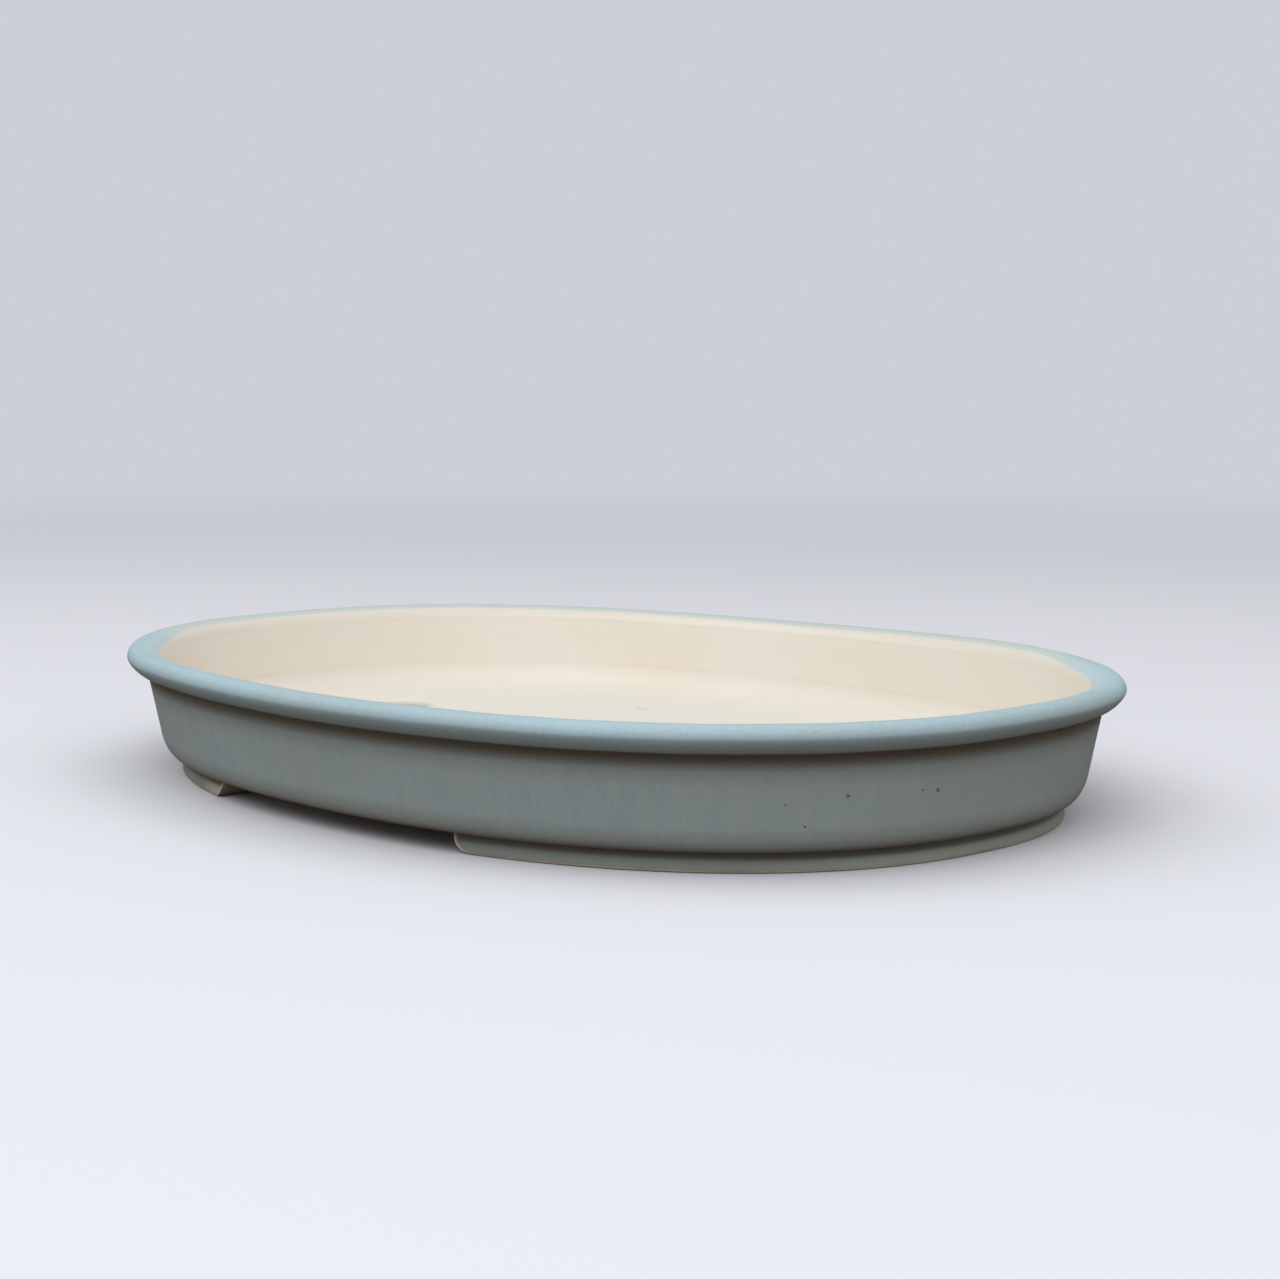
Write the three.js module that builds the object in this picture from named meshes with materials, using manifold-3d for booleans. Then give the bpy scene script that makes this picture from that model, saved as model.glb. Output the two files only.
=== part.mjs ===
// Shallow oval bonsai pot in glazed stoneware, laid up from five clay pieces:
// a floor slab, a wall band that wraps and overlaps the slab's edge, a rounded
// rim lip on top of the wall, and two C-shaped feet under the slab, one round
// each end of the oval. Millimetres, +Z up, origin on the ground plane under
// the centre of the pot, long axis along X.
import * as THREE from 'three';
import { mergeVertices } from 'three/addons/utils/BufferGeometryUtils.js';
import Module from 'manifold-3d';

// ---- driving dimensions ------------------------------------------------
const LENGTH = 410;            // over the lip, along X
const WIDTH = 305;             // over the lip, along Y
const OVAL_POWER = 2.24;       // 2 would be a true ellipse; higher is squarer
const AROUND = 96;             // facets round the oval

// heights above the ground plane
const CREST_Z = 49.25;         // top of the lip
const LIP_EDGE_Z = 45.25;      // level of the lip's outermost line
const LIP_SEAT_Z = 39;         // where the lip sits on the wall band
const CORNER_Z = 15.5;         // where the wall starts to round under
const FLOOR_TOP_Z = 16.5;      // planting floor
const UNDERSIDE_Z = 7.0;       // underside of the slab = height of the feet

// insets, measured square in from the outermost line of the lip
const CREST_IN = 4;            // crest of the lip
const GLAZE_EDGE_IN = 12.4;    // inner edge of the lip's rounded top
const GLAZE_EDGE_Z = 46.15;
const LIP_INNER_IN = 13.3;     // inner face of the lip where the rounding ends
const LIP_INNER_Z = 43.75;
const SEAT_OUT_IN = 7.6;       // outer wall face at the lip seat
const SEAT_INNER_IN = 14.3;    // inner wall face at the lip seat
const WALL_FOOT_IN = 12.46;    // outer wall face at the lower corner
const UNDER_OUT_IN = 18;       // outer edge of the flat underside
const SLAB_EDGE_IN = 19.5;     // edge of the floor slab inside the wall band
const FILLET_TOP_IN = 17.0;    // inner wall face where the floor fillet begins
const FILLET_TOP_Z = 25.0;
const FILLET_TOE_IN = 28.0;    // where the fillet would meet the floor
const LIP_UNDER_POWER = 1.5;   // fullness of the lip's slanted underside

// feet
const FOOT_TOP_OUT_IN = 21.9;
const FOOT_BOTTOM_OUT_IN = 20.3;   // the foot spreads a little towards the ground
const FOOT_BOTTOM_INNER_IN = 33.0;
const FOOT_TOP_INNER_IN = 35.5;
const FOOT_EDGE = 0.8;         // small chamfer along the ground edges
const GAP_HALF_TOP = 66;       // half the opening between the feet, at the slab
const GAP_END_ROUND = 7;       // the foot ends round back by this much

// holes through the slab
const DRAIN_D = 26;
const DRAIN_X = 125;
const WIRE_D = 4.4;
const WIRE_X = 48;
const WIRE_Y = 67;

// ---- finishes ------------------------------------------------------------
const glaze = (name) => new THREE.MeshStandardMaterial({ name, color: 0xabc5cc, roughness: 0.42, metalness: 0 });
const glazeShade = (name) => new THREE.MeshStandardMaterial({ name, color: 0x98adae, roughness: 0.45, metalness: 0 });
const bareClay = (name) => new THREE.MeshStandardMaterial({ name, color: 0xe6dfd3, roughness: 0.85, metalness: 0 });
const footGlaze = (name) => new THREE.MeshStandardMaterial({ name, color: 0x8f9a90, roughness: 0.5, metalness: 0 });

// ---- the oval --------------------------------------------------------------
// Points on |x/a|^p + |y/b|^p = 1, evenly spaced along the line, with the
// outward normal at each. Built from one quadrant so that it is symmetric.
function ovalOutline(count) {
  const a = LENGTH / 2, b = WIDTH / 2, p = OVAL_POWER;
  const at = (t) => [a * Math.pow(Math.cos(t), 2 / p), b * Math.pow(Math.sin(t), 2 / p)];
  const fine = 20000, lengths = [0], ts = [0];
  let [px, py] = at(0);
  for (let i = 1; i <= fine; i++) {
    const t = (Math.PI / 2) * (i / fine);
    const [x, y] = i === fine ? [0, b] : at(t);
    lengths.push(lengths[i - 1] + Math.hypot(x - px, y - py));
    ts.push(t);
    px = x; py = y;
  }
  const quarter = count / 4, total = lengths[fine];
  const quadrant = [];
  let k = 0;
  for (let i = 0; i <= quarter; i++) {
    const want = (total * i) / quarter;
    while (k < fine && lengths[k] < want) k++;
    const [x, y] = i === 0 ? [a, 0] : i === quarter ? [0, b] : at(ts[k]);
    let nx = Math.pow(x / a, p - 1) / a, ny = Math.pow(y / b, p - 1) / b;
    const l = Math.hypot(nx, ny);
    quadrant.push([x, y, nx / l, ny / l]);
  }
  const points = [];
  for (let i = 0; i < count; i++) {
    const q = Math.floor(i / quarter), r = i % quarter;
    const [x, y, nx, ny] = q % 2 === 0 ? quadrant[r] : quadrant[quarter - r];
    const sx = q === 0 || q === 3 ? 1 : -1, sy = q < 2 ? 1 : -1;
    points.push({ x: sx * x, y: sy * y, nx: sx * nx, ny: sy * ny });
  }
  return points;
}
const outline = ovalOutline(AROUND);

// ---- solids ----------------------------------------------------------------
// A section of [inset, z] points is turned as a lathe and its circles are then
// laid onto the oval, each at a constant inset from the outline. An inset of
// null is a point on the pot's axis.
const TURN_R = 1000;
function layOnOval(section) {
  const profile = section.map(([inset, z]) => new THREE.Vector2(inset === null ? 0 : TURN_R - inset, z));
  const geometry = new THREE.LatheGeometry(profile, AROUND);
  const pos = geometry.attributes.position;
  for (let i = 0; i <= AROUND; i++) {
    const o = outline[i % AROUND];
    for (let j = 0; j < section.length; j++) {
      const [inset, z] = section[j];
      const v = i * section.length + j;
      if (inset === null) pos.setXYZ(v, 0, 0, z);
      else pos.setXYZ(v, o.x - o.nx * inset, o.y - o.ny * inset, z);
    }
  }
  return solid(geometry);
}

// One closed body with merged vertices and outward faces.
function solid(geometry) {
  geometry.deleteAttribute('normal');
  geometry.deleteAttribute('uv');
  const merged = mergeVertices(geometry, 1e-3);
  const p = merged.attributes.position, index = Array.from(merged.index.array);
  const keep = [];
  let volume = 0;
  for (let i = 0; i < index.length; i += 3) {
    const [a, b, c] = [index[i], index[i + 1], index[i + 2]];
    if (a === b || b === c || c === a) continue;
    keep.push(a, b, c);
    volume += p.getX(a) * (p.getY(b) * p.getZ(c) - p.getZ(b) * p.getY(c))
      - p.getY(a) * (p.getX(b) * p.getZ(c) - p.getZ(b) * p.getX(c))
      + p.getZ(a) * (p.getX(b) * p.getY(c) - p.getY(b) * p.getX(c));
  }
  if (volume < 0) {
    for (let i = 0; i < keep.length; i += 3) [keep[i + 1], keep[i + 2]] = [keep[i + 2], keep[i + 1]];
  }
  const result = new THREE.BufferGeometry();
  result.setAttribute('position', merged.attributes.position);
  result.setIndex(keep);
  return result;
}

const wasm = await Module();
wasm.setup();
const toManifold = (geometry) => new wasm.Manifold(new wasm.Mesh({
  numProp: 3,
  vertProperties: new Float32Array(geometry.attributes.position.array),
  triVerts: new Uint32Array(geometry.index.array),
}));
function fromManifold(manifold) {
  const mesh = manifold.getMesh();
  const geometry = new THREE.BufferGeometry();
  geometry.setAttribute('position', new THREE.BufferAttribute(new Float32Array(mesh.vertProperties), 3));
  geometry.setIndex(Array.from(mesh.triVerts));
  return geometry;
}
function drill(diameter, x, y, sides) {
  const tool = new THREE.CylinderGeometry(diameter / 2, diameter / 2, 20, sides);
  tool.rotateX(Math.PI / 2);
  tool.translate(x, y, (UNDERSIDE_Z + FLOOR_TOP_Z) / 2);
  return toManifold(solid(tool));
}

// A quarter of a superellipse from (x0, z0) to (x1, z1), leaving (x0, z0)
// square to X when 'first' is 'z', or square to Z when it is 'x'.
function quarterArc(x0, z0, x1, z1, steps, first, power = 2) {
  const points = [];
  for (let i = 1; i < steps; i++) {
    const t = (Math.PI / 2) * (i / steps);
    const c = Math.pow(Math.cos(t), 2 / power), s = Math.pow(Math.sin(t), 2 / power);
    points.push(first === 'z' ? [x1 + (x0 - x1) * c, z0 + (z1 - z0) * s] : [x0 + (x1 - x0) * s, z1 + (z0 - z1) * c]);
  }
  points.push([x1, z1]);
  return points;
}

// Floor slab: a flat oval tile with two drain holes and four wire holes.
let slab = toManifold(layOnOval([
  [null, UNDERSIDE_Z], [SLAB_EDGE_IN, UNDERSIDE_Z], [SLAB_EDGE_IN, FLOOR_TOP_Z], [null, FLOOR_TOP_Z],
]));
for (const sx of [-1, 1]) {
  slab = slab.subtract(drill(DRAIN_D, sx * DRAIN_X, 0, 36));
  for (const sy of [-1, 1]) slab = slab.subtract(drill(WIRE_D, sx * WIRE_X, sy * WIRE_Y, 16));
}

// Wall band: tapered wall, rounded lower corner, and the fillet that laps over
// the slab inside.
const filletToe = 75 * Math.PI / 180;
const fillet = [];
for (let i = 0; i <= 5; i++) {
  const t = filletToe * (1 - i / 5);
  fillet.push([
    FILLET_TOE_IN - (FILLET_TOE_IN - FILLET_TOP_IN) * Math.cos(t),
    FILLET_TOP_Z - (FILLET_TOP_Z - FLOOR_TOP_Z) * Math.sin(t),
  ]);
}
const corner = new THREE.CubicBezierCurve(
  new THREE.Vector2(WALL_FOOT_IN, CORNER_Z), new THREE.Vector2(WALL_FOOT_IN + 0.65, CORNER_Z - 3.2),
  new THREE.Vector2(UNDER_OUT_IN - 3.1, UNDERSIDE_Z + 1.5), new THREE.Vector2(UNDER_OUT_IN, UNDERSIDE_Z),
).getPoints(5).map((point) => [point.x, point.y]);
const wallBand = layOnOval([
  [SEAT_OUT_IN, LIP_SEAT_Z],
  ...corner,
  [SLAB_EDGE_IN, UNDERSIDE_Z],
  [SLAB_EDGE_IN, FLOOR_TOP_Z],
  [FILLET_TOE_IN - 1.7, FLOOR_TOP_Z],
  ...fillet,
  [SEAT_INNER_IN, LIP_SEAT_Z],
  [SEAT_OUT_IN, LIP_SEAT_Z],
]);

// Rim lip: slanted underside, rounded outer edge, crest, and a top that falls
// gently to the rounded inner edge.
const rimLip = layOnOval([
  [SEAT_OUT_IN, LIP_SEAT_Z],
  [SEAT_INNER_IN, LIP_SEAT_Z],
  [LIP_INNER_IN, LIP_INNER_Z],
  [GLAZE_EDGE_IN + 0.45, GLAZE_EDGE_Z - 1.0],
  [GLAZE_EDGE_IN - 0.6, GLAZE_EDGE_Z + 0.35],
  [10.0, CREST_Z - 1.6], [7.4, CREST_Z - 0.55], [5.4, CREST_Z - 0.1],
  [CREST_IN, CREST_Z],
  ...quarterArc(CREST_IN, CREST_Z, 0, LIP_EDGE_Z, 4, 'x'),
  ...quarterArc(0, LIP_EDGE_Z, SEAT_OUT_IN, LIP_SEAT_Z, 4, 'z', LIP_UNDER_POWER),
]);

// Feet: one ring under the slab, opened in the middle of each long side. The
// opening is wider at the ground, because the foot ends are rounded.
const footRing = toManifold(layOnOval([
  [FOOT_TOP_OUT_IN, UNDERSIDE_Z],
  [FOOT_TOP_OUT_IN - 0.45, 5.2],
  [FOOT_BOTTOM_OUT_IN + 0.2, 2.4],
  [FOOT_BOTTOM_OUT_IN, 1.2],
  [FOOT_BOTTOM_OUT_IN + 0.3, 0.3],
  [FOOT_BOTTOM_OUT_IN + FOOT_EDGE, 0],
  [FOOT_BOTTOM_INNER_IN - FOOT_EDGE, 0],
  [FOOT_BOTTOM_INNER_IN + 0.3, FOOT_EDGE],
  [FOOT_TOP_INNER_IN, UNDERSIDE_Z],
  [FOOT_TOP_OUT_IN, UNDERSIDE_Z],
]));
const gap = new THREE.Shape();
const side = [];
for (let i = 0; i <= 6; i++) {
  const t = (Math.PI / 2) * (i / 6);
  side.push([GAP_HALF_TOP + GAP_END_ROUND * (1 - Math.cos(t)), UNDERSIDE_Z * (1 - Math.sin(t))]);
}
gap.moveTo(-GAP_HALF_TOP, UNDERSIDE_Z + 2);
for (const [x, z] of side) gap.lineTo(-x, z);
gap.lineTo(-GAP_HALF_TOP - GAP_END_ROUND, -2);
gap.lineTo(GAP_HALF_TOP + GAP_END_ROUND, -2);
for (const [x, z] of side.slice().reverse()) gap.lineTo(x, z);
gap.lineTo(GAP_HALF_TOP, UNDERSIDE_Z + 2);
gap.closePath();
const gapTool = new THREE.ExtrudeGeometry(gap, { depth: WIDTH + 40, bevelEnabled: false });
gapTool.rotateX(Math.PI / 2);
gapTool.translate(0, WIDTH / 2 + 20, 0);
const feet = footRing.subtract(toManifold(solid(gapTool))).decompose();
feet.sort((m, n) => m.boundingBox().min[0] - n.boundingBox().min[0]);

// ---- assembly --------------------------------------------------------------
const pot = new THREE.Group();
function add(name, geometry, material) {
  const mesh = new THREE.Mesh(geometry, material);
  mesh.name = name;
  pot.add(mesh);
}
add('floor_slab', fromManifold(slab), bareClay('bare_clay'));
add('wall_band', wallBand, glazeShade('wall_glaze'));
add('rim_lip', rimLip, glaze('rim_glaze'));
add('left_foot', fromManifold(feet[0]), footGlaze('left_foot_glaze'));
add('right_foot', fromManifold(feet[feet.length - 1]), footGlaze('right_foot_glaze'));

export default pot;
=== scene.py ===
import math

import bmesh
import bpy
import numpy as np
from mathutils import Matrix, Vector, geometry


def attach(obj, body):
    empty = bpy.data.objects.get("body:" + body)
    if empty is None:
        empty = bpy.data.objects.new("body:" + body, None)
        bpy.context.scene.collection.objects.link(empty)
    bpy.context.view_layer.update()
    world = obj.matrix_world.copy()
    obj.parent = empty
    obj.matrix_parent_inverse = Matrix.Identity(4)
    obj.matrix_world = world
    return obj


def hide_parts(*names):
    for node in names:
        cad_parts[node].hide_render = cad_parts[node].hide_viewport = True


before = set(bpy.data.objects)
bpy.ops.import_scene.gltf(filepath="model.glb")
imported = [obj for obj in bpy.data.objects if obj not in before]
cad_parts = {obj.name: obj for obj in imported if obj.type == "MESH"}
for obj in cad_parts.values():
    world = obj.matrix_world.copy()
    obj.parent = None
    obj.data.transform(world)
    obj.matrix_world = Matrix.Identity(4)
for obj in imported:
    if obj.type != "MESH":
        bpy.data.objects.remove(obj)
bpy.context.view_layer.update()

# ---------------------------------------------------------------------------
# Shape of the pot, in millimetres, in the same frame as the CAD
# ---------------------------------------------------------------------------
LENGTH, WIDTH, OVAL_POWER = 410.0, 305.0, 2.24
CREST_Z, LIP_EDGE_Z, LIP_SEAT_Z = 49.25, 45.25, 39.0
CORNER_Z, FLOOR_Z, UNDER_Z = 15.5, 16.5, 7.0
AROUND = 720

A, B, P = LENGTH / 2, WIDTH / 2, OVAL_POWER


def make_outline():
    """A fine table of the oval: arc length -> point and outward normal."""
    t = np.linspace(0, np.pi / 2, 60001)
    x = A * np.cos(t) ** (2 / P)
    y = B * np.sin(t) ** (2 / P)
    x[-1], y[0] = 0.0, 0.0
    qs = np.r_[0, np.cumsum(np.hypot(np.diff(x), np.diff(y)))]
    total = qs[-1]
    s = np.r_[qs, 2 * total - qs[::-1][1:], 2 * total + qs[1:], 4 * total - qs[::-1][1:]]
    X = np.r_[x, -x[::-1][1:], -x[1:], x[::-1][1:]]
    Y = np.r_[y, y[::-1][1:], -y[1:], -y[::-1][1:]]
    return s, X, Y, total * 4


_S, _X, _Y, PERIMETER = make_outline()


def outline(s):
    """Point and outward normal at arc length s, counted from the +X end."""
    s = np.mod(s, PERIMETER)
    x, y = np.interp(s, _S, _X), np.interp(s, _S, _Y)
    nx = np.sign(x) * np.abs(x / A) ** (P - 1) / A
    ny = np.sign(y) * np.abs(y / B) ** (P - 1) / B
    l = np.hypot(nx, ny)
    return x, y, nx / l, ny / l


def waves(x, y, z, seed, size):
    """A smooth value between about -1 and 1 that varies over 'size' mm; fixed by its seed."""
    rng = np.random.RandomState(seed)
    out = np.zeros_like(x, dtype=float)
    for _ in range(7):
        k = rng.normal(size=3) / size * 3.2
        out += np.sin(k[0] * x + k[1] * y + k[2] * z + rng.uniform(0, 6.28))
    return out / 3.2


def hand_made(p):
    """The small unevenness of a pressed and fired pot: fractions of a millimetre, none where it stands."""
    x, y, z = p[:, 0], p[:, 1], p[:, 2]
    up = np.clip((z - 9.0) / 30.0, 0, 1)
    up = up * up * (3 - 2 * up)
    d = np.zeros_like(p)
    d[:, 0] = 0.22 * waves(x, y, z, 11, 90) * up
    d[:, 1] = 0.22 * waves(x, y, z, 12, 90) * up
    d[:, 2] = (0.20 * waves(x, y, 0 * z, 13, 110) + 0.06 * waves(x, y, 0 * z, 14, 22)) * up
    # the rim has slumped slightly on one side of the far end, most at its crest
    across, along = 0.734 * y + 0.679 * x, 0.675 * y - 0.729 * x
    back = np.clip((along - 10.0) / 90.0, 0, 1)
    back = back * back * (3 - 2 * back)
    crest = 0.35 + 0.65 * np.clip((z - 39.0) / 10.25, 0, 1)
    d[:, 2] -= 2.1 * back * np.exp(-(((across - 62.0) / 105.0) ** 2)) * crest * up
    return p + d


# ---------------------------------------------------------------------------
# Section curves: lists of (inset from the lip's outermost line, height)
# ---------------------------------------------------------------------------
def arc(cx, cz, rx, rz, a0, a1, n):
    """Points on an axis-aligned ellipse, angles in degrees from +inset towards +z."""
    return [(cx + rx * math.cos(math.radians(a0 + (a1 - a0) * i / n)), cz + rz * math.sin(math.radians(a0 + (a1 - a0) * i / n))) for i in range(n + 1)]


def line(a, b, n):
    return [(a[0] + (b[0] - a[0]) * i / n, a[1] + (b[1] - a[1]) * i / n) for i in range(n + 1)]


def joined(*runs):
    out = []
    for run in runs:
        for q in run:
            if not out or math.hypot(q[0] - out[-1][0], q[1] - out[-1][1]) > 1e-4:
                out.append((float(q[0]), float(q[1])))
    if math.hypot(out[0][0] - out[-1][0], out[0][1] - out[-1][1]) < 1e-4:
        out.pop()
    return out


# rim lip: seat, inner face, rounded top, crest, outer edge, slanted underside, fillet into the wall
inner_face = line((14.3, LIP_SEAT_Z), (13.3, 43.75), 8)
top = [(4.0 + 9.3 * math.cos(math.radians(a)), 43.75 + 5.5 * math.sin(math.radians(a))) for a in np.linspace(0, 90, 25)]
outer = [(4.0 - 4.0 * math.sin(math.radians(a)), 45.25 + 4.0 * math.cos(math.radians(a))) for a in np.linspace(0, 90, 17)]
under = []
for a in np.linspace(0, 90, 27):
    c, s = math.cos(math.radians(a)), math.sin(math.radians(a))
    under.append((7.6 * (1 - max(c, 0) ** 1.3333), 45.25 - 6.25 * max(s, 0) ** 1.3333))
# the glaze fills the corner under the lip with a small cove
cove_r = 1.6
under = [q for q in under if q[0] < 7.6 - cove_r * 0.95]
lip_end = under[-1]

# the cove is shared: the part above the seat belongs to the lip, the part below to the wall band
def cove_points():
    """A smooth curve from the lip's underside to the wall face, crossing the seat's height."""
    p0 = np.array(lip_end)
    d0 = np.array([under[-1][0] - under[-2][0], under[-1][1] - under[-2][1]])
    d0 /= np.linalg.norm(d0)
    p1 = np.array([7.6 + 4.55 * (2.2 / 22.0), LIP_SEAT_Z - 2.2])
    d1 = np.array([4.55 / 22.0, -1.0])
    d1 /= np.linalg.norm(d1)
    pts = []
    span = np.linalg.norm(p1 - p0)
    for t in np.linspace(0, 1, 25):
        h00, h10 = 2 * t**3 - 3 * t**2 + 1, t**3 - 2 * t**2 + t
        h01, h11 = -2 * t**3 + 3 * t**2, t**3 - t**2
        pts.append(tuple(h00 * p0 + h10 * span * 1.15 * d0 + h01 * p1 + h11 * span * 1.15 * d1))
    return pts


COVE = cove_points()
cross = next(i for i in range(1, len(COVE)) if COVE[i][1] <= LIP_SEAT_Z < COVE[i - 1][1])
(ax_, az_), (bx_, bz_) = COVE[cross - 1], COVE[cross]
f_ = (az_ - LIP_SEAT_Z) / (az_ - bz_)
seat_out = (ax_ + (bx_ - ax_) * f_, LIP_SEAT_Z)
LIP = joined(inner_face, top, outer, under, COVE[1:cross], [seat_out], line(seat_out, (14.3, LIP_SEAT_Z), 4))

# wall band: tapered face, rounded lower corner, flat underside, slab edge, floor fillet, inner face
wall_face = line(COVE[-1], (12.46, CORNER_Z), 26)


def curve(p0, p1, p2, p3, n):
    """A cubic Bezier curve."""
    out = []
    for i in range(n + 1):
        t = i / n
        w = ((1 - t) ** 3, 3 * t * (1 - t) ** 2, 3 * t * t * (1 - t), t**3)
        out.append(tuple(sum(w[j] * q[i_] for j, q in enumerate((p0, p1, p2, p3))) for i_ in (0, 1)))
    return out


corner = curve((12.46, CORNER_Z), (13.1, CORNER_Z - 3.2), (14.9, UNDER_Z + 1.5), (17.6, UNDER_Z + 0.22), 22)
corner += [(17.8, UNDER_Z + 0.14), (17.98, UNDER_Z + 0.05)]
underside = line((18.15, UNDER_Z), (19.5, UNDER_Z), 3)
slab_edge = line((19.5, UNDER_Z), (19.5, FLOOR_Z), 3)
over_slab = line((19.5, FLOOR_Z), (28.0, FLOOR_Z), 4)
fillet = [(28.0 - 11.0 * math.cos(math.radians(a)), 25.0 - 8.5 * math.sin(math.radians(a))) for a in np.linspace(90, 0, 25)]
inner_wall = line((17.0, 25.0), (14.3, LIP_SEAT_Z), 14)
WALL = joined([seat_out], COVE[cross:], wall_face, corner, underside, slab_edge, over_slab, fillet, inner_wall, line((14.3, LIP_SEAT_Z), seat_out, 4))


# ---------------------------------------------------------------------------
# Mesh making
# ---------------------------------------------------------------------------
def new_piece(name, verts_mm, faces, insets, smooth_angle=38):
    me = bpy.data.meshes.new(name)
    v = hand_made(np.asarray(verts_mm, float)) / 1000.0
    me.from_pydata(v.tolist(), [], faces)
    me.validate(clean_customdata=False)
    att = me.attributes.new("inset", "FLOAT", "POINT")
    att.data.foreach_set("value", np.asarray(insets, np.float32))
    bm = bmesh.new()
    bm.from_mesh(me)
    bmesh.ops.recalc_face_normals(bm, faces=bm.faces)
    if bm.calc_volume(signed=True) < 0:
        bmesh.ops.reverse_faces(bm, faces=bm.faces)
    bm.to_mesh(me)
    bm.free()
    me.shade_smooth()
    me.set_sharp_from_angle(angle=math.radians(smooth_angle))
    ob = bpy.data.objects.new(name, me)
    bpy.context.scene.collection.objects.link(ob)
    return ob


def oval_ring(name, section, outside=()):
    s = np.arange(AROUND) * PERIMETER / AROUND
    x, y, nx, ny = outline(s)
    M = len(section)
    sec = np.array(section)
    verts = np.zeros((AROUND, M, 3))
    verts[:, :, 0] = x[:, None] - nx[:, None] * sec[None, :, 0]
    verts[:, :, 1] = y[:, None] - ny[:, None] * sec[None, :, 0]
    verts[:, :, 2] = sec[None, :, 1]
    faces = []
    for i in range(AROUND):
        a, b = i * M, ((i + 1) % AROUND) * M
        for j in range(M):
            k = (j + 1) % M
            faces.append((a + j, a + k, b + k, b + j))
    shade = sec[:, 0].copy()
    for k, q in enumerate(section):
        if any(abs(q[0] - w[0]) < 1e-6 and abs(q[1] - w[1]) < 1e-6 for w in outside):
            shade[k] = min(shade[k], 11.0)
    return new_piece(name, verts.reshape(-1, 3), faces, np.tile(shade, AROUND))


# floor slab: a flat oval with rounded holes, triangulated evenly
DRAIN_R, DRAIN_X = 13.0, 125.0
WIRE_R, WIRE_X, WIRE_Y = 2.2, 48.0, 67.0
HOLES = [(-DRAIN_X, 0.0, DRAIN_R, 3.0, 72), (DRAIN_X, 0.0, DRAIN_R, 3.0, 72)]
HOLES += [(sx * WIRE_X, sy * WIRE_Y, WIRE_R, 0.9, 32) for sx in (-1, 1) for sy in (-1, 1)]


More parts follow.
